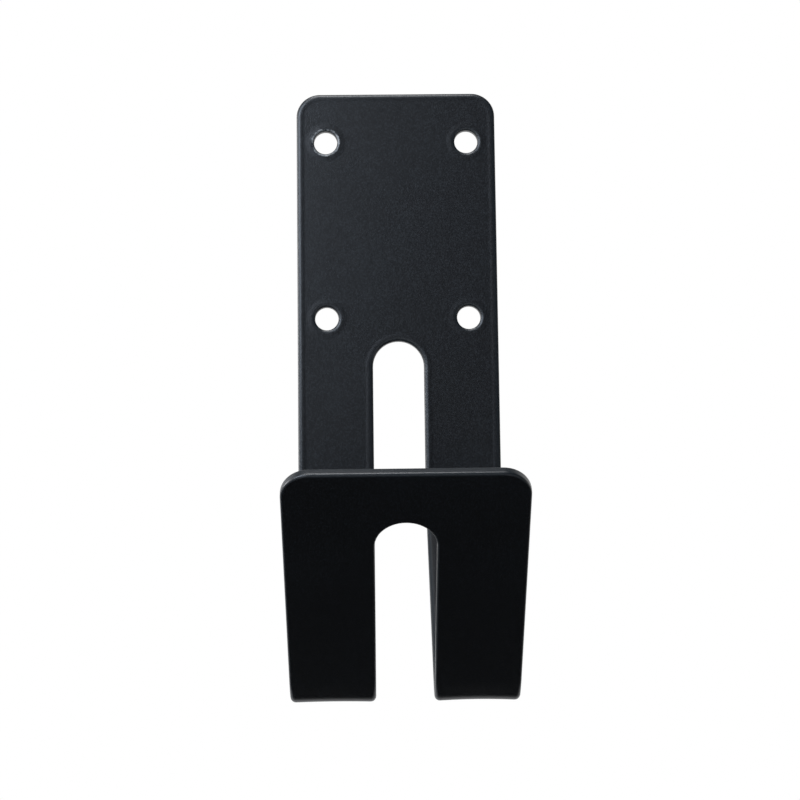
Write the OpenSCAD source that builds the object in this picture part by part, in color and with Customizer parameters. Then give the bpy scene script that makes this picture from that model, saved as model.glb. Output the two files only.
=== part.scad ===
// Wall holder for a vehicle charging connector, folded from one strip of steel sheet.
// The back plate screws to the wall, the strut slopes forward and down to the nose, and the lip
// rises in front, so that the connector rests in the trough between plate and lip.
// A long slot runs from the back plate through both bends into the lip.
// Frame: X across the strip, Y into the wall, Z up. The origin is the middle of the screw
// pattern on the back plate's wall face.

/* [Sheet] */
// Width of the strip
sheet_w = 60; // [45:0.5:90]
// Thickness of the sheet
sheet_t = 2.5; // [1.5:0.1:4]
// Radius on the inside of both bends
bend_r = 2.5; // [1:0.1:6]
// Corner radius at the top of the back plate and of the lip
corner_r = 7; // [3:0.5:12]
// Rounding of the deburred and coated edges
edge_r = 0.5; // [0.2:0.05:0.6]

/* [Fold] */
// Flat height of the back plate, from its top edge to the upper bend
plate_len = 122; // [100:0.5:180]
// Flat length of the strut, between the two bends
strut_len = 75.5; // [40:0.5:120]
// Flat length of the lip, from the nose bend to its free edge
lip_len = 75; // [40:0.5:120]
// Turn of the upper bend, from the back plate into the strut
upper_turn = 45; // [20:1:70]
// Turn of the nose bend, from the strut into the lip
nose_turn = 90; // [60:1:110]

/* [Slot] */
// Width of the slot
slot_w = 15.2; // [8:0.1:24]
// Solid height of the back plate, from its top edge to the slot's upper end
slot_below_top = 76; // [60:0.1:90]
// Solid height of the lip, from its free edge to the slot's front end
slot_below_lip = 15.5; // [10:0.5:28]

/* [Screw holes] */
// Diameter of each screw hole, with clearance for an M6 screw
hole_d = 7; // [4:0.1:9]
// Distance from a side edge to the middle of each hole
hole_from_side = 8.75; // [6:0.25:14]
// Distance between the holes up the plate
hole_dz = 54; // [30:0.5:60]
// Distance from the top edge to the middle of the upper holes
hole_below_top = 15; // [11:0.5:24]

/* [Hidden] */
$fn = 96;

// A cutter reaches this far past the faces that it cuts
past = 1;
// Reach of the blocks that join a flat to its bend
tongue = 0.4;
// Angle that the turned legs are drawn past each end of a bend, before they are cut back
spare_turn = 10;
// Flats that make up each quarter of a rounded edge
edge_steps = 3;
// Most that the squares of a turn's cosine and sine may miss one by
turn_miss = 4e-9;
// Pairs tried on each side of a turn's own cosine and sine
turn_tries = 2000;
// Straight part of a free end, between its two rounded corners
end_w = sheet_w - 2 * corner_r;
// Height of the top edge above the middle of the screw pattern
top_z = hole_below_top + hole_dz / 2;
sheet_colour = "#2b2f33";

// A length to the nearest thousandth of a millimetre
function micron(length) = round(length * 1000) / 1000;

// A ratio to the nearest millionth
function millionth(ratio) = round(ratio * 1e6) / 1e6;

// The nearest cosine and sine of a turn, to six places, whose squares add up to one, so that a
// turned panel keeps its size and meets the bend edge to edge
function turn_pair(turn) = [
  for (step = [0 : turn_tries])
    for (side = [-1, 1])
      let (
        cosine = millionth(cos(turn) + side * step * 1e-6),
        sine = millionth(sqrt(1 - cosine * cosine))
      )
        if (abs(cosine * cosine + sine * sine - 1) < turn_miss)
          [cosine, sine]
][0];

// Points of a rounded sheet edge that ends at x, from the wall face to the inner face
function edge_points(x) = [
  for (quarter = [0, 1])
    for (step = [0 : edge_steps])
      let (turn = 90 * (quarter - 1 + step / edge_steps))
        [
          x - edge_r + micron(edge_r * cos(turn)),
          (quarter == 0 ? edge_r : sheet_t - edge_r) + micron(edge_r * sin(turn))
        ]
];

// Section of the sheet's border, as wide as a corner, with its rounded edge at x = corner_r
module border_section() {
  polygon([[0, 0], each edge_points(corner_r), [0, sheet_t]]);
}

// Section of half a cut, from its middle at x = 0 to the rounded edge that it leaves at x = half
module cut_section(half) {
  rim = half + edge_r;
  edge = [for (p = edge_points(half)) [2 * half - p[0], p[1]]];
  polygon([[0, -past], [rim, -past], each edge, [rim, sheet_t + past], [0, sheet_t + past]]);
}

// Section of the whole strip
module strip_section() {
  translate([-end_w / 2, 0])
    square([end_w, sheet_t]);
  for (side = [0, 1])
    mirror([side, 0])
      translate([end_w / 2, 0])
        border_section();
}

// Section of the slot's cut
module slot_section() {
  for (side = [0, 1])
    mirror([side, 0])
      cut_section(slot_w / 2);
}

// Section of the two legs beside the slot
module leg_sections() {
  difference() {
    strip_section();
    slot_section();
  }
}

// A section in X and Z swept along Y, from y = from to y = to
module sweep(from, to) {
  translate([0, to, 0])
    rotate([90, 0, 0])
      linear_extrude(to - from)
        children();
}

// A block behind the plane y = 0, beside a bend's axis
module behind_plane() {
  reach = sheet_t + bend_r + past;
  translate([-sheet_w / 2 - past, -reach, -reach])
    cube([sheet_w + 2 * past, reach, reach]);
}

// Blocks inside the two legs that reach past the plane y = 0 on both sides, so that a flat and
// its bend are one solid there
module tongues() {
  skin = sheet_t / 4;
  for (side = [0, 1])
    mirror([side, 0, 0])
      translate([slot_w / 2 + skin, -tongue, skin])
        cube([(sheet_w - slot_w) / 2 - 2 * skin, 2 * tongue, sheet_t - 2 * skin]);
}

// What follows a bend, turned about the bend's axis
module turned(turn) {
  pair = turn_pair(turn);
  multmatrix([[1, 0, 0, 0], [0, pair[0], -pair[1], 0], [0, pair[1], pair[0], 0], [0, 0, 0, 1]])
    children();
}

// The legs turned about a bend's axis, cut back to the planes where the flats meet the bend,
// and what follows, in the frame after the bend
module bend(turn) {
  axis_z = sheet_t + bend_r;
  translate([0, 0, axis_z]) {
    difference() {
      rotate([0, 90, 0])
        rotate_extrude(angle = turn + 2 * spare_turn, start = -spare_turn)
          translate([axis_z, 0])
            rotate(90)
              leg_sections();
      behind_plane();
      turned(turn)
        mirror([0, 1, 0])
          behind_plane();
    }
    turned(turn)
      translate([0, 0, -axis_z]) {
        tongues();
        children();
      }
  }
  tongues();
}

// A panel with a free end at y = 0, rounded corners there, and its other end at y = len
module blank_panel(len) {
  sweep(corner_r, len)
    strip_section();
  translate([-end_w / 2, corner_r, 0])
    rotate([90, 0, 90])
      linear_extrude(end_w)
        mirror([1, 0])
          border_section();
  for (side = [0, 1])
    mirror([side, 0, 0])
      translate([end_w / 2, corner_r, 0])
        rotate_extrude(angle = 90, start = -90)
          border_section();
}

// The cut of a slot that starts with a round end at y = from and runs past y = to
module slot_cut(from, to) {
  middle = from + slot_w / 2;
  translate([0, middle, 0])
    rotate_extrude(angle = 180, start = 180)
      cut_section(slot_w / 2);
  sweep(middle, to + past)
    slot_section();
}

// The cut of one screw hole
module hole_cut() {
  rotate_extrude()
    cut_section(hole_d / 2);
}

// The back plate, from its top edge at y = 0 to the upper bend
module back_plate() {
  difference() {
    blank_panel(plate_len);
    slot_cut(slot_below_top, plate_len);
    for (x = [-1, 1])
      for (row = [0, 1])
        translate([x * (sheet_w / 2 - hole_from_side), hole_below_top + row * hole_dz, 0])
          hole_cut();
  }
}

// The lip, from the nose bend at y = 0 to its free edge
module lip() {
  translate([0, lip_len, 0])
    rotate(180)
      difference() {
        blank_panel(lip_len);
        slot_cut(slot_below_lip, lip_len);
      }
}

// The whole folded sheet, drawn along the strip from the top edge of the back plate
module holder() {
  color(sheet_colour)
    translate([0, 0, top_z])
      rotate([-90, 0, 180]) {
        back_plate();
        translate([0, plate_len, 0])
          bend(upper_turn) {
            sweep(0, strut_len)
              leg_sections();
            translate([0, strut_len, 0])
              bend(nose_turn)
                lip();
          }
      }
}

holder();
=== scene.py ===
"""Looks of a wall holder for a charging connector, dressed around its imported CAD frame.

The holder is one strip of steel sheet: a blank with four screw holes and one long slot is cut flat,
its rims are rounded, it is folded at two bends, and it is powder coated. The script makes it in that
order. Lengths in the classes are in millimetres unless their name says otherwise, and the finished
mesh is in metres, in the frame of the CAD part: X across the strip, Y into the wall, Z up.
"""

import logging
import math
from dataclasses import dataclass
from enum import Enum

import bmesh
import bpy
from mathutils import Euler, Matrix, Vector


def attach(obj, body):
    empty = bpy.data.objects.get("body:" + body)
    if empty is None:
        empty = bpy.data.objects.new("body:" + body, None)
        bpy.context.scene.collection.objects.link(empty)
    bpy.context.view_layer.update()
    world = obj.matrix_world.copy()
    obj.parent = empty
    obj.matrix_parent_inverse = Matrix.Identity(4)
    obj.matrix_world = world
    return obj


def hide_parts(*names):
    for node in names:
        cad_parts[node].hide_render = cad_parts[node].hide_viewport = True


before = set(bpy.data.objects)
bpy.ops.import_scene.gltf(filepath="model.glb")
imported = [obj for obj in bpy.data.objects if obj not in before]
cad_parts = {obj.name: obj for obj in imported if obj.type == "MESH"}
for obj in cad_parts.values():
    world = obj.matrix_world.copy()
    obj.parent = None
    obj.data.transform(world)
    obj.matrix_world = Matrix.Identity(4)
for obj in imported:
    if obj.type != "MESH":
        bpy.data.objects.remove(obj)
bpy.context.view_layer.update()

MM = 0.001
# Lengths in millimetres below which points touch, and below which they are merged
TOUCH, MERGE = 1e-4, 0.01
# Decimal places at which rows of the flat blank count as one
ROW_PLACES = 5
# Names of the mesh attributes for the rounded rims and for the scraped film
RIM, SCRAPE = "rim", "scrape"
WHITE = "#ffffff"
LOG = logging.getLogger("holder_looks")

Span = tuple[float, float]
Triple = tuple[float, float, float]
Tree = bpy.types.NodeTree
Socket = bpy.types.NodeSocket
BMesh = bmesh.types.BMesh
BMFace = bmesh.types.BMFace
BMVert = bmesh.types.BMVert


class SheetFace(Enum):
    """The two broad faces of the flat blank, by the sign of their normal along Y."""

    WALL = 1.0
    FRONT = -1.0


def linear(hex_colour: str) -> tuple[float, float, float, float]:
    """Turn an sRGB hex colour into linear RGBA.

    Args:
        hex_colour: Six hex digits after a hash sign.

    Returns:
        Linear red, green and blue, and an alpha of one.
    """
    parts = [int(hex_colour[i : i + 2], 16) / 255 for i in (1, 3, 5)]
    low, high = [c / 12.92 for c in parts], [((c + 0.055) / 1.055) ** 2.4 for c in parts]
    red, green, blue = [a if c <= 0.04045 else b for c, a, b in zip(parts, low, high)]
    return red, green, blue, 1.0


def add_node(
    tree: Tree, kind: str, settings: dict | None = None, inputs: dict | None = None
) -> bpy.types.Node:
    """Add a node with its settings, and set or link its inputs.

    Args:
        tree: Node tree that gets the node.
        kind: Node type name.
        settings: Values for the node's own properties.
        inputs: Input names or numbers, each with a value or with the output socket to link.

    Returns:
        The new node.
    """
    node = tree.nodes.new(kind)
    for name, value in (settings or {}).items():
        setattr(node, name, value)
    for name, value in (inputs or {}).items():
        if isinstance(value, bpy.types.NodeSocket):
            tree.links.new(value, node.inputs[name])
        else:
            node.inputs[name].default_value = value
    return node


def link_object(name: str, data: bpy.types.ID) -> bpy.types.Object:
    """Make an object from its data and put it in the scene.

    Args:
        name: Name of the object.
        data: Mesh, light or camera.

    Returns:
        The object, at the origin.
    """
    made = bpy.data.objects.new(name, data)
    bpy.context.scene.collection.objects.link(made)
    return made


@dataclass(frozen=True)
class PowderCoat:
    """Black polyester powder coat, sprayed on steel and baked: a satin film with a fine grain.

    It gives the eye a soft blue-black that stays dull face on, a fine speckle from the grain, a pale line
    on the rounded edges, partly from the thinner film there and partly a painted highlight, and a dry grey
    where a screw has scraped the film.
    """

    name: str = "powder_coat_satin_black"
    film: str = "#0d0f12"
    film_pale: str = "#1a1e22"
    # Paler colour of the rounded rims: partly the thinner film there, partly a painted highlight
    edge: str = "#1e2327"
    scraped: str = "#909395"
    ior: float = 1.5
    specular: float = 0.5
    roughness: float = 0.33
    rough_swing: Span = (-0.02, 0.03)
    # The real grain is about 0.15 mm wide. It is drawn three times as coarse, so that it shows.
    grain_mm: float = 0.45
    grain_height_mm: float = 0.038
    grain_strength: float = 0.7
    grain_detail: float = 2.0
    # The slight waves of a baked film, at their real size
    peel_mm: float = 3.2
    peel_height_mm: float = 0.02
    peel_strength: float = 0.6
    peel_detail: float = 1.0
    # Slow change of the film's tone over the sheet
    cloud_mm: float = 26.0
    cloud_detail: float = 3.0
    noise_roughness: float = 0.6
    # Noise levels between which specks, tone, torn film and roughness change, and how far they do
    speck_band: Span = (0.48, 0.66)
    tone_band: Span = (0.3, 0.7)
    tone_swing: float = 0.22
    torn_band: Span = (0.4, 0.62)
    torn_least: float = 0.4
    bare_band: Span = (0.12, 0.5)
    bare_share: float = 0.85
    # How far the rims turn to the paler rim colour, which is partly thinner film and partly a painted
    # highlight
    thin_film_and_highlight_share: float = 0.8

    def build(self) -> bpy.types.Material:
        """Make the material.

        Returns:
            The node material, which reads Object coordinates and the rim and scrape attributes.
        """
        material = bpy.data.materials.new(self.name)
        material.use_nodes = True
        tree = material.node_tree
        tree.nodes.clear()
        place = add_node(tree, "ShaderNodeTexCoord").outputs["Object"]
        sizes = (
            (self.grain_mm, self.grain_detail),
            (self.peel_mm, self.peel_detail),
            (self.cloud_mm, self.cloud_detail),
        )
        grain, peel, cloud = [
            add_node(
                tree,
                "ShaderNodeTexNoise",
                inputs={
                    "Vector": place,
                    "Scale": 1 / (size * MM),
                    "Detail": detail,
                    "Roughness": self.noise_roughness,
                },
            ).outputs["Fac"]
            for size, detail in sizes
        ]
        film, rough = self._tint(tree, grain, cloud)
        shader = add_node(
            tree,
            "ShaderNodeBsdfPrincipled",
            inputs={
                "Base Color": film,
                "Roughness": rough,
                "IOR": self.ior,
                "Specular IOR Level": self.specular,
                "Normal": self._relief(tree, grain, peel),
            },
        )
        add_node(tree, "ShaderNodeOutputMaterial", inputs={"Surface": shader.outputs[0]})
        return material

    def _tint(self, tree: Tree, grain: Socket, cloud: Socket) -> tuple[Socket, Socket]:
        """Give the film its speckled tone, its paler rims, partly thinner film and partly a painted
        highlight, and its scraped ring.

        Args:
            tree: Node tree of the material.
            grain: Noise of the grain.
            cloud: Noise of the slow change of tone.

        Returns:
            Sockets with the film's colour and with its roughness.
        """
        rim, scrape = [
            add_node(tree, "ShaderNodeAttribute", {"attribute_name": name}).outputs["Fac"]
            for name in (RIM, SCRAPE)
        ]
        swing = tuple(self.roughness + step for step in self.rough_swing)
        speck, tone, thin_film_and_highlight, torn, rough = [
            add_node(
                tree,
                "ShaderNodeMapRange",
                {"clamp": True},
                {"Value": value, "From Min": low, "From Max": high, "To Min": start, "To Max": end},
            ).outputs["Result"]
            for value, (low, high), (start, end) in (
                (grain, self.speck_band, (0.0, 1.0)),
                (cloud, self.tone_band, (-self.tone_swing, self.tone_swing)),
                # Rim mask: thinner film and a painted highlight on the rounded rims
                (rim, (0.0, 1.0), (0.0, self.thin_film_and_highlight_share)),
                (grain, self.torn_band, (self.torn_least, 1.0)),
                (grain, self.tone_band, swing),
            )
        ]
        pale = add_node(
            tree, "ShaderNodeMath", {"operation": "ADD", "use_clamp": True}, {0: speck, 1: tone}
        )
        worn = add_node(tree, "ShaderNodeMath", {"operation": "MULTIPLY"}, {0: scrape, 1: torn})
        bare = add_node(
            tree,
            "ShaderNodeMapRange",
            {"clamp": True},
            {
                "Value": worn.outputs[0],
                "From Min": self.bare_band[0],
                "From Max": self.bare_band[1],
                "To Max": self.bare_share,
            },
        )
        film: Socket | tuple[float, float, float, float] = linear(self.film)
        for share, colour in (
            (pale.outputs[0], self.film_pale),
            (thin_film_and_highlight, self.edge),
            (bare.outputs["Result"], self.scraped),
        ):
            colours = {"Factor": share, 6: film, 7: linear(colour)}
            film = add_node(tree, "ShaderNodeMix", {"data_type": "RGBA"}, colours).outputs[2]
        return film, rough

    def _relief(self, tree: Tree, grain: Socket, peel: Socket) -> Socket:
        """Give the film its waves and, on top of them, its grain.

        Args:
            tree: Node tree of the material.
            grain: Noise of the grain.
            peel: Noise of the waves.

        Returns:
            Socket with the film's normal.
        """
        waves = add_node(
            tree,
            "ShaderNodeBump",
            inputs={
                "Strength": self.peel_strength,
                "Distance": self.peel_height_mm * MM,
                "Height": peel,
            },
        )
        grit = add_node(
            tree,
            "ShaderNodeBump",
            inputs={
                "Strength": self.grain_strength,
                "Distance": self.grain_height_mm * MM,
                "Height": grain,
                "Normal": waves.outputs["Normal"],
            },
        )
        return grit.outputs["Normal"]


@dataclass
class FoldedHolder:
    """The folded strip: back plate, strut and lip, with its slot, screw holes and rounded rims."""

    name: str = "holder_sheet"
    node: str = "holder"
    slot_name: str = "coated_steel"
    # The strip, as in the CAD part. The lip ends a hair short of it, which keeps the film in its box.
    width: float = 60.0
    thickness: float = 2.5
    corner_r: float = 7.0
    bend_r: float = 2.5
    top_z: float = 42.0
    plate_len: float = 122.0
    strut_len: float = 75.5
    lip_len: float = 74.98
    upper_turn: float = 44.949
    nose_turn: float = 90.0
    opening_w: float = 15.2
    opening_below_top: float = 76.0
    opening_below_lip: float = 15.48
    hole_d: float = 7.0
    hole_dx: float = 42.5
    hole_dz: float = 54.0
    # Front edge that cutting rolls in, and beside it the film's fat edge, which falls in two steps
    roll_w: float = 1.3
    roll_h: float = 0.6
    bead_h: float = 0.08
    bead_run: float = 1.2
    bead_falls: Span = (0.35, 0.65)
    # Rims of the wall side and of the lip's free edge, and how much of the roll the lip and holes have
    wall_rim_r: float = 0.65
    lip_rim_r: float = 0.85
    lip_roll_share: float = 0.5
    hole_roll_share: float = 0.78
    # Scraped ring: its distance from the hole, its width, how far it rises and wanders, and how bare
    # it is at least and at most. The waves round it have a count, a phase and a height each.
    burr_out: float = 0.5
    burr_reach: float = 0.27
    burr_rise: float = 0.16
    burr_wander: float = 0.3
    burr_bare: Span = (0.1, 1.3)
    burr_mean: float = 0.5
    burr_waves: tuple[Triple, ...] = ((3, 0.6, 0.22), (7, 0.0, 0.16), (13, 2.0, 0.12))
    # What bending does: reach beyond the bend, rims on its outside, hollow of the left and right leg,
    # and how strongly the upper bend and the nose show it
    swell_reach: float = 5.0
    swell_rim_r: float = 1.5
    leg_dips: Span = (0.2, 0.34)
    bend_force: Span = (0.5, 1.0)
    # Fineness of the mesh: collars round the holes, steps of the rounds, rows and columns of the bends
    collar_r: float = 6.12
    round_steps: int = 14
    hole_steps: int = 56
    rim_steps: int = 5
    bend_rows: tuple[int, int] = (12, 22)
    leg_columns: tuple[float, ...] = (0.1, 0.22, 0.36, 0.5, 0.64, 0.78, 0.9)
    facing: float = 0.9
    normal_weight: int = 80

    def build(self) -> bpy.types.Object:
        """Cut, round, fold and finish the sheet.

        Returns:
            The mesh object, in metres at the origin.
        """
        bm = bmesh.new()
        for name in (RIM, SCRAPE):
            bm.verts.layers.float.new(name)
        self._cut_blank(bm)
        self._thicken(bm)
        self._round_rims(bm)
        self._dress_lip(bm)
        self._tighten_holes(bm)
        self._burr_hole(bm)
        self._score_bends(bm)
        self._swell_bends(bm)
        self._fold(bm)
        bmesh.ops.scale(bm, vec=(MM, MM, MM), verts=bm.verts)
        bmesh.ops.recalc_face_normals(bm, faces=bm.faces)
        for face in bm.faces:
            face.smooth = True
        mesh = bpy.data.meshes.new(self.name)
        bm.to_mesh(mesh)
        bm.free()
        sheet = link_object(self.name, mesh)
        even = sheet.modifiers.new("flat_faces_stay_flat", "WEIGHTED_NORMAL")
        even.mode = "FACE_AREA"
        even.weight = self.normal_weight
        return sheet

    def dress(self, sheet: bpy.types.Object, coat: PowderCoat) -> None:
        """Coat the sheet and tie it to the CAD frame.

        Args:
            sheet: Mesh object of the folded strip.
            coat: Finish that covers it.
        """
        sheet.data.materials.append(coat.build())
        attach(sheet, "root")
        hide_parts(self.node)

    @property
    def mid_r(self) -> float:
        """Radius of the sheet's middle surface in both bends."""
        return self.bend_r + self.thickness / 2

    @property
    def upper_start(self) -> float:
        """Height in the flat blank at which the upper bend starts."""
        return self.top_z - self.plate_len

    @property
    def nose_start(self) -> float:
        """Height in the flat blank at which the nose bend starts."""
        return self.upper_start - self.mid_r * math.radians(self.upper_turn) - self.strut_len

    @property
    def blank_end(self) -> float:
        """Height of the lip's free edge in the flat blank."""
        return self.nose_start - self.mid_r * math.radians(self.nose_turn) - self.lip_len

    @property
    def ring_step(self) -> float:
        """Length between the steps of a collar's inner and outer ring."""
        return math.pi * (self.hole_d / 2 + self.collar_r) / self.hole_steps

    @property
    def roll_start(self) -> float:
        """Depth below the wall face from which the front edge is rolled in."""
        return self.thickness - self.roll_h - TOUCH

    @property
    def roll_reach(self) -> float:
        """Distance from a front edge to which the roll and the film's fat edge reach."""
        return self.roll_w + self.bead_run + TOUCH

    def _bends(self) -> list[tuple[float, float, int]]:
        """List the bends from the top down.

        Returns:
            For each bend, its start in the flat blank, its arc length there and its number of rows.
        """
        starts, turns = (self.upper_start, self.nose_start), (self.upper_turn, self.nose_turn)
        arcs = [self.mid_r * math.radians(turn) for turn in turns]
        return list(zip(starts, arcs, self.bend_rows))

    def _rows(self) -> list[float]:
        """List the cuts across the blank, at the holes, the slot's ends and the bends.

        Returns:
            The heights in the flat blank at which the sheet is cut into bands.
        """
        middle = self.opening_w / 2
        rows = [self.hole_dz / 2, -self.hole_dz / 2]
        rows.append(self.top_z - self.opening_below_top - middle)
        rows.append(self.blank_end + self.opening_below_lip + middle)
        reach = range(1, int(self.swell_reach) + 1)
        for start, arc, steps in self._bends():
            rows += [start - arc * i / steps for i in range(steps + 1)]
            rows += [start + d for d in reach] + [start - arc - d for d in reach]
        return rows

    def _round_outline(self, bm: BMesh, half: float, low: float, high: float, radius: float) -> None:
        """Draw a closed outline with round corners, each corner spun about its centre.

        Args:
            bm: Mesh that gets the outline.
            half: Half of the outline's width.
            low: Its lowest height.
            high: Its highest height.
            radius: Radius of its corners.
        """
        ends: list[tuple[BMVert, BMVert]] = []
        turns = ((1, high, 0), (-1, high, 90), (-1, low, 180), (1, low, 270))
        for side, edge, start in turns:
            inset = math.copysign(radius, edge - (low + high) / 2)
            centre = Vector((side * (half - radius), 0, edge - inset))
            begin = math.radians(start)
            first = bm.verts.new(centre + radius * Vector((math.cos(begin), 0, math.sin(begin))))
            arc = bmesh.ops.spin(
                bm,
                geom=[first],
                cent=centre,
                axis=(0, -1, 0),
                angle=math.pi / 2,
                steps=self.round_steps,
            )
            ends.append((first, next(v for v in arc["geom_last"] if isinstance(v, BMVert))))
        for (_, last), (first, _) in zip(ends, ends[1:] + ends[:1]):
            if (last.co - first.co).length > MERGE:
                bm.edges.new((last, first))
        bmesh.ops.remove_doubles(bm, verts=bm.verts, dist=MERGE)

    def _spin_collar(self, bm: BMesh, centre: Vector) -> set[BMFace]:
        """Spin the collar of a screw hole from a row of points.

        Args:
            bm: Mesh that gets the collar.
            centre: Middle of the hole.

        Returns:
            The collar's faces.
        """
        radii = (self.hole_d / 2, self.collar_r)
        row = [bm.verts.new(centre + Vector((radius, 0, 0))) for radius in radii]
        spokes = [bm.edges.new(pair) for pair in zip(row, row[1:])]
        before = set(bm.faces)
        bmesh.ops.spin(
            bm,
            geom=row + spokes,
            cent=centre,
            axis=(0, -1, 0),
            angle=2 * math.pi,
            steps=self.hole_steps,
            use_merge=True,
        )
        return set(bm.faces) - before

    def _cut_blank(self, bm: BMesh) -> None:
        """Cut the flat blank, with a collar of faces around each screw hole.

        Args:
            bm: Empty mesh that gets the blank, as one flat layer of faces.
        """
        low, high = self.blank_end + self.opening_below_lip, self.top_z - self.opening_below_top
        self._round_outline(bm, self.width / 2, self.blank_end, self.top_z, self.corner_r)
        self._round_outline(bm, self.opening_w / 2, low, high, self.opening_w / 2)
        border = list(bm.edges)
        collars: set[BMFace] = set()
        for x in (-self.hole_dx / 2, self.hole_dx / 2):
            for z in (-self.hole_dz / 2, self.hole_dz / 2):
                collars |= self._spin_collar(bm, Vector((x, 0, z)))
        outer = {e for f in collars for e in f.edges if e.is_boundary and e.calc_length() > self.ring_step}
        bmesh.ops.triangle_fill(bm, use_beauty=True, edges=border + list(outer), normal=(0, -1, 0))
        for z in self._rows():
            self._bisect(bm, list(bm.faces), Vector((0, 0, z)), Vector((0, 0, 1)))
        rows = [self.top_z, *sorted(self._rows(), reverse=True), self.blank_end]
        for high, low in zip(rows, rows[1:]):
            sheet = [f for f in bm.faces if f not in collars]
            band = [f for f in sheet if low < f.calc_center_median().z < high]
            bmesh.ops.dissolve_faces(bm, faces=band)
        spare = [v for v in bm.verts if len(v.link_edges) == 2 and not v.is_boundary]
        bmesh.ops.dissolve_verts(bm, verts=spare)
        bmesh.ops.recalc_face_normals(bm, faces=bm.faces)

    @staticmethod
    def _bisect(bm: BMesh, faces: list[BMFace], place: Vector, normal: Vector) -> None:
        """Cut some faces where a plane crosses them.

        Args:
            bm: Mesh to cut.
            faces: Faces to cut.
            place: A point of the plane.
            normal: The plane's normal.
        """
        edges = list({e for f in faces for e in f.edges})
        verts = list({v for f in faces for v in f.verts})
        geom = faces + edges + verts
        bmesh.ops.bisect_plane(bm, geom=geom, dist=TOUCH, plane_co=place, plane_no=normal)

    def _thicken(self, bm: BMesh) -> None:
        """Give the blank the height of its straight rim, between the two rounded edges.

        Args:
            bm: Mesh of the flat blank.
        """
        bmesh.ops.translate(bm, vec=(0, -self.wall_rim_r, 0), verts=bm.verts)
        grown = bmesh.ops.extrude_face_region(bm, geom=list(bm.faces))
        rise = self.wall_rim_r + self.roll_h - self.thickness
        moved = [v for v in grown["geom"] if isinstance(v, BMVert)]
        bmesh.ops.translate(bm, vec=(0, rise, 0), verts=moved)
        bmesh.ops.recalc_face_normals(bm, faces=bm.faces)
        bm.normal_update()
        rim = bm.verts.layers.float[RIM]
        for vert in bm.verts:
            vert[rim] = 1.0

    def _round_rims(self, bm: BMesh) -> None:
        """Round both rims with small insets that climb a quarter of an ellipse.

        Args:
            bm: Mesh of the thick blank.
        """
        rim = bm.verts.layers.float[RIM]
        angles = [math.radians(90 * i / self.rim_steps) for i in range(self.rim_steps + 1)]
        pairs = list(zip(angles, angles[1:]))
        climb = [(math.cos(a) - math.cos(b), math.sin(b) - math.sin(a)) for a, b in pairs]
        for side, wide, high, bead in (
            (SheetFace.FRONT, self.roll_w, self.roll_h + self.bead_h, self.bead_h),
            (SheetFace.WALL, self.wall_rim_r, self.wall_rim_r, 0.0),
        ):
            faces = [f for f in bm.faces if f.normal.y * side.value > self.facing]
            for inward, upward in climb:
                self._inset(bm, faces, wide * inward, high * upward)
            for vert in {v for f in faces for v in f.verts}:
                vert[rim] = 0.0
            if bead:
                for share in self.bead_falls:
                    self._inset(bm, faces, self.bead_run / len(self.bead_falls), -bead * share)

    @staticmethod
    def _inset(bm: BMesh, faces: list[BMFace], inward: float, upward: float) -> None:
        """Inset a region of faces along its border and lift it.

        Args:
            bm: Mesh that holds the faces.
            faces: Region to inset.
            inward: Width of the new border strip.
            upward: Lift along the region's normal.
        """
        bmesh.ops.inset_region(
            bm, faces=faces, thickness=inward, depth=upward, use_boundary=True, use_even_offset=True
        )

    def _dress_lip(self, bm: BMesh) -> None:
        """Round the lip's free edge more on its outer side and less on its inner side.

        Args:
            bm: Mesh of the flat blank with rounded rims.
        """
        half, level = self.width / 2 - self.corner_r, self.blank_end + self.corner_r
        for vert in bm.verts:
            out = vert.co - Vector((max(-half, min(half, vert.co.x)), vert.co.y, level))
            if out.z > -TOUCH:
                continue
            reach, depth = self.corner_r - out.length, -vert.co.y
            share = (out.z / out.length) ** 2
            if max(reach, depth) < self.wall_rim_r + TOUCH:
                grow, face = 1 + (self.lip_rim_r / self.wall_rim_r - 1) * share, 0.0
            elif reach < self.roll_reach and depth > self.roll_start:
                grow, face = 1 + (self.lip_roll_share - 1) * share, self.thickness
            else:
                continue
            vert.co -= out.normalized() * reach * (grow - 1)
            vert.co.y = -face - (depth - face) * grow

    def _tighten_holes(self, bm: BMesh) -> None:
        """Narrow the front rounding of the holes, which a small punch rolls in less than the border.

        Args:
            bm: Mesh of the flat blank with rounded rims.
        """
        inner = self.hole_d / 2
        for vert in bm.verts:
            side = math.copysign(self.hole_dx / 2, vert.co.x)
            level = math.copysign(self.hole_dz / 2, vert.co.z)
            out = vert.co - Vector((side, vert.co.y, level))
            reach, depth = out.length - inner, -vert.co.y
            if depth > self.roll_start and reach < self.roll_reach:
                vert.co -= out.normalized() * reach * (1 - self.hole_roll_share)
                vert.co.y = (self.thickness - depth) * self.hole_roll_share - self.thickness

    def _burr_hole(self, bm: BMesh) -> None:
        """Roughen the front rim of the upper left hole, where a screw has scraped the film.

        Args:
            bm: Mesh of the flat blank with rounded rims.
        """
        scrape = bm.verts.layers.float[SCRAPE]
        axis = Vector((-self.hole_dx / 2, 0, self.hole_dz / 2))
        inner = self.hole_d / 2
        least, span = self.burr_bare
        for vert in bm.verts:
            out = vert.co - axis
            out.y = 0
            if -vert.co.y < self.roll_start or not inner - TOUCH < out.length < self.collar_r - TOUCH:
                continue
            turn = math.atan2(out.z, out.x)
            waves = [high * math.sin(count * turn + phase) for count, phase, high in self.burr_waves]
            ragged = sum(waves, self.burr_mean)
            crest = math.exp(-(((out.length - inner - self.burr_out) / self.burr_reach) ** 2))
            vert.co.y -= self.burr_rise * ragged * crest
            vert.co += out.normalized() * self.burr_wander * (ragged - self.burr_mean) * crest
            vert[scrape] = crest * (least + span * ragged)

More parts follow.
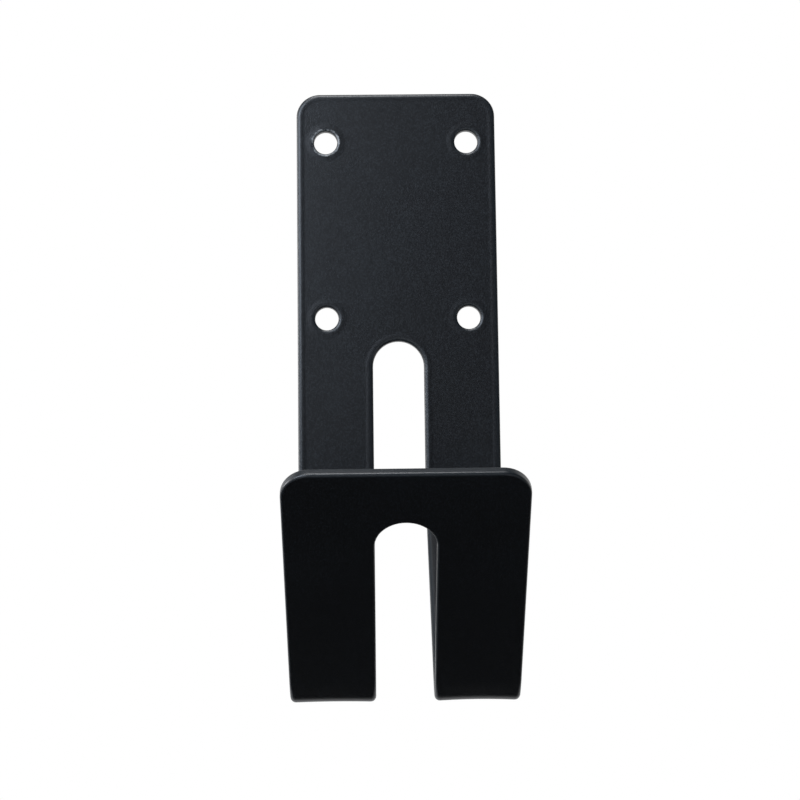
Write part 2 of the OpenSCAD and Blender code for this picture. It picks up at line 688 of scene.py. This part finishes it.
    def _score_bends(self, bm: BMesh) -> None:
        """Cut columns along both legs where the bends hollow them.

        Args:
            bm: Mesh of the flat blank with rounded rims.
        """
        gap = self.opening_w / 2
        leg = self.width / 2 - gap
        for start, arc, _ in self._bends():
            high, low = start + self.swell_reach + TOUCH, start - arc - self.swell_reach - TOUCH
            for share in self.leg_columns:
                for side in (-1, 1):
                    faces = [f for f in bm.faces if all(low < v.co.z < high for v in f.verts)]
                    place = Vector((side * (gap + leg * share), 0, 0))
                    self._bisect(bm, faces, place, Vector((1, 0, 0)))

    def _swell_bends(self, bm: BMesh) -> None:
        """Pull the outer rims in and hollow the outer face a little at both bends, as bending does.

        Args:
            bm: Mesh of the flat blank with its columns cut.
        """
        half, gap = self.width / 2, self.opening_w / 2
        leg = half - gap
        for vert in bm.verts:
            for (start, arc, _), force in zip(self._bends(), self.bend_force):
                away = abs(vert.co.z - (start - arc / 2)) / (arc / 2 + self.swell_reach)
                if away >= 1:
                    continue
                swell = force * math.cos(away * math.pi / 2) ** 2
                side = math.copysign(1, vert.co.x)
                edge = side * (half if abs(vert.co.x) > gap + leg / 2 else gap)
                reach, depth = abs(vert.co.x - edge), -vert.co.y
                if max(reach, depth) < self.wall_rim_r + TOUCH:
                    grow = 1 + (self.swell_rim_r / self.wall_rim_r - 1) * swell
                    vert.co.x = edge + (vert.co.x - edge) * grow
                    vert.co.y *= grow
                across = (abs(vert.co.x) - gap - leg / 2) / (leg / 2)
                dip = self.leg_dips[0] if side < 0 else self.leg_dips[1]
                vert.co.y -= dip * swell * max(0.0, 1 - across * across)

    def _fold(self, bm: BMesh) -> None:
        """Fold the blank at the nose and then at the upper bend, row by row about the bend's axis.

        Args:
            bm: Mesh of the finished flat blank.
        """
        flat = {vert: vert.co.z for vert in bm.verts}
        for start, arc, _ in reversed(self._bends()):
            axis = Vector((0, -self.thickness - self.bend_r, start))
            rows: dict[float, list[BMVert]] = {}
            for vert, height in flat.items():
                if height < start - TOUCH:
                    along = round(min(start - height, arc), ROW_PLACES)
                    rows.setdefault(along, []).append(vert)
            for along, verts in rows.items():
                turn = Matrix.Rotation(-along / self.mid_r, 3, "X")
                bmesh.ops.translate(bm, vec=(0, 0, along), verts=verts)
                bmesh.ops.rotate(bm, cent=axis, matrix=turn, verts=verts)


@dataclass(frozen=True)
class Softbox:
    """A square studio lamp, with its place and aim in metres and its power in watts."""

    name: str
    place: Triple
    side: float
    power: float
    colour: str
    aim: Triple = (0.0, -0.04, -0.04)

    def build(self) -> None:
        """Hang the lamp and turn it to its aim."""
        data = bpy.data.lights.new(self.name, "AREA")
        data.size = self.side
        data.energy = self.power
        data.color = linear(self.colour)[:3]
        lamp = link_object(self.name, data)
        lamp.location = self.place
        ahead = Vector(self.aim) - Vector(self.place)
        lamp.rotation_euler = ahead.to_track_quat("-Z", "Y").to_euler()


@dataclass(frozen=True)
class BlackPanel:
    """A black studio panel that the camera doesn't see: sizes in metres, turn in degrees."""

    name: str
    half: Span
    place: Triple
    turn: Triple = (0.0, 0.0, 0.0)

    def matrix(self) -> Matrix:
        """Give the panel's place and turn."""
        turn = Euler([math.radians(angle) for angle in self.turn])
        return Matrix.Translation(self.place) @ turn.to_matrix().to_4x4()


@dataclass
class Studio:
    """White sweep, pale floor, black panels and soft lamps, with lengths in metres."""

    # The floor turns from pale to white between these distances from the holder
    floor_z: float = -0.2
    floor_half: float = 4.0
    floor_pale: str = "#ececec"
    fade_from: float = 0.2
    fade_to: float = 0.34
    # Share of white that the floor under the holder shows, over its shadow
    lift: float = 0.5
    card_black: str = "#444444"
    # Light that the white surroundings cast on dull surfaces
    ambient: float = 0.28
    lamps: tuple[Softbox, ...] = (
        Softbox("left_softbox", (-0.44, -0.79, 0.33), 0.44, 5.3, "#e2eeff"),
        Softbox("side_softbox", (-0.85, -0.1, 0.12), 0.4, 5.0, "#fbfcff"),
        Softbox("high_softbox", (-0.1, -0.44, 0.74), 0.35, 4.6, "#fbfcff"),
    )
    panels: tuple[BlackPanel, ...] = (
        BlackPanel("black_card", (0.3, 0.2), (0.0, -0.235, -0.19)),
        BlackPanel("black_front", (1.2, 1.0), (0.0, -1.2, 0.5), (90.0, 0.0, 0.0)),
        BlackPanel("black_ceiling", (1.2, 0.8), (0.0, -0.4, 1.3)),
        BlackPanel("black_side", (1.0, 0.6), (1.0, -0.6, 0.5), (0.0, 90.0, 0.0)),
    )

    def build(self) -> None:
        """Make the world, the floor, the panels and the lamps."""
        self._build_world()
        self._build_floor()
        self._build_panels()
        for lamp in self.lamps:
            lamp.build()

    @staticmethod
    def _seen(tree: Tree) -> Socket:
        """Tell rays that show the background from rays that light dull surfaces.

        Args:
            tree: Node tree of the world or of a stage material.

        Returns:
            Socket that is one for rays from the eye, from gloss and through glass.
        """
        rays = add_node(tree, "ShaderNodeLightPath").outputs
        seen = rays["Is Camera Ray"]
        for name in ("Is Glossy Ray", "Is Transmission Ray"):
            both = {0: seen, 1: rays[name]}
            seen = add_node(tree, "ShaderNodeMath", {"operation": "MAXIMUM"}, both).outputs[0]
        return seen

    def _build_world(self) -> None:
        """Make a world that is white to the eye and dim to the object's dull surfaces."""
        world = bpy.data.worlds.new("white_sweep")
        world.use_nodes = True
        tree = world.node_tree
        tree.nodes.clear()
        level = add_node(
            tree,
            "ShaderNodeMapRange",
            inputs={"Value": self._seen(tree), "To Min": self.ambient, "To Max": 1.0},
        )
        sky = add_node(
            tree,
            "ShaderNodeBackground",
            inputs={"Color": linear(WHITE), "Strength": level.outputs["Result"]},
        )
        add_node(tree, "ShaderNodeOutputWorld", inputs={"Surface": sky.outputs[0]})
        bpy.context.scene.world = world

    @staticmethod
    def _panel(name: str, half: Span, place: Matrix) -> bpy.types.Object:
        """Make a flat panel that is part of the stage.

        Args:
            name: Name of the object.
            half: Half of its sides.
            place: Its place and turn, from a level panel at the origin.

        Returns:
            The mesh object.
        """
        bm = bmesh.new()
        stretch = Matrix.Diagonal((*half, 1.0, 1.0))
        bmesh.ops.create_grid(bm, x_segments=1, y_segments=1, size=1.0, matrix=place @ stretch)
        mesh = bpy.data.meshes.new(name)
        bm.to_mesh(mesh)
        bm.free()
        panel = link_object(name, mesh)
        return panel

    def _build_floor(self) -> None:
        """Lay the pale floor, which keeps the holder's shadow and turns white away from it."""
        place = Matrix.Translation((0, 0, self.floor_z))
        floor = self._panel("floor", (self.floor_half, self.floor_half), place)
        material = bpy.data.materials.new("matt_white_paper")
        material.use_nodes = True
        tree = material.node_tree
        tree.nodes.clear()
        spot = add_node(tree, "ShaderNodeTexCoord").outputs["Object"]
        level = add_node(
            tree, "ShaderNodeVectorMath", {"operation": "MULTIPLY"}, {0: spot, 1: (1, 1, 0)}
        )
        away = add_node(
            tree, "ShaderNodeVectorMath", {"operation": "LENGTH"}, {0: level.outputs["Vector"]}
        )
        white = add_node(
            tree,
            "ShaderNodeMapRange",
            {"interpolation_type": "SMOOTHSTEP"},
            {
                "Value": away.outputs["Value"],
                "From Min": self.fade_from,
                "From Max": self.fade_to,
                "To Min": self.lift,
                "To Max": 1.0,
            },
        )
        share = add_node(
            tree,
            "ShaderNodeMath",
            {"operation": "MULTIPLY"},
            {0: white.outputs["Result"], 1: self._seen(tree)},
        )
        paper = add_node(tree, "ShaderNodeBsdfDiffuse", inputs={"Color": linear(self.floor_pale)})
        glow = add_node(
            tree, "ShaderNodeEmission", inputs={"Color": linear(WHITE), "Strength": 1.0}
        )
        mixed = add_node(
            tree,
            "ShaderNodeMixShader",
            inputs={0: share.outputs[0], 1: paper.outputs[0], 2: glow.outputs[0]},
        )
        add_node(tree, "ShaderNodeOutputMaterial", inputs={"Surface": mixed.outputs[0]})
        floor.data.materials.append(material)

    def _build_panels(self) -> None:
        """Set the black panels, which give the film dark surroundings, as a satin black is shot."""
        material = bpy.data.materials.new("matt_black_card")
        material.use_nodes = True
        tree = material.node_tree
        tree.nodes.clear()
        dull = add_node(tree, "ShaderNodeBsdfDiffuse", inputs={"Color": linear(self.card_black)})
        add_node(tree, "ShaderNodeOutputMaterial", inputs={"Surface": dull.outputs[0]})
        for panel in self.panels:
            card = self._panel(panel.name, panel.half, panel.matrix())
            card.visible_camera = False
            card.visible_shadow = False
            card.data.materials.append(material)


@dataclass
class FrontCamera:
    """Camera below the middle of the holder, looking a little up, with lengths in millimetres."""

    place: Triple = (-7.236, -548.724, -122.288)
    ahead: Triple = (0.013713, 0.991680, 0.127993)
    up: Triple = (0.010538, -0.128086, 0.991707)
    lens: float = 83.36
    sensor: float = 36.0

    def build(self) -> None:
        """Set up the camera and make it the scene's own."""
        data = bpy.data.cameras.new("front_camera")
        data.lens = self.lens
        data.sensor_width = self.sensor
        camera = link_object("front_camera", data)
        back = -Vector(self.ahead).normalized()
        right = Vector(self.up).cross(back).normalized()
        turn = Matrix((right, back.cross(right), back)).transposed()
        camera.matrix_world = Matrix.Translation(Vector(self.place) * MM) @ turn.to_4x4()
        bpy.context.scene.camera = camera


def main() -> None:
    """Build the camera, the holder and the studio, in that order."""
    logging.basicConfig(level=logging.INFO, format="%(name)s: %(message)s")
    bpy.context.scene.view_settings.view_transform = "Standard"
    FrontCamera().build()
    holder = FoldedHolder()
    sheet = holder.build()
    holder.dress(sheet, PowderCoat())
    mesh = sheet.data
    LOG.info("%s: %d vertices, %d faces", sheet.name, len(mesh.vertices), len(mesh.polygons))
    Studio().build()


if __name__ == "__main__":
    main()
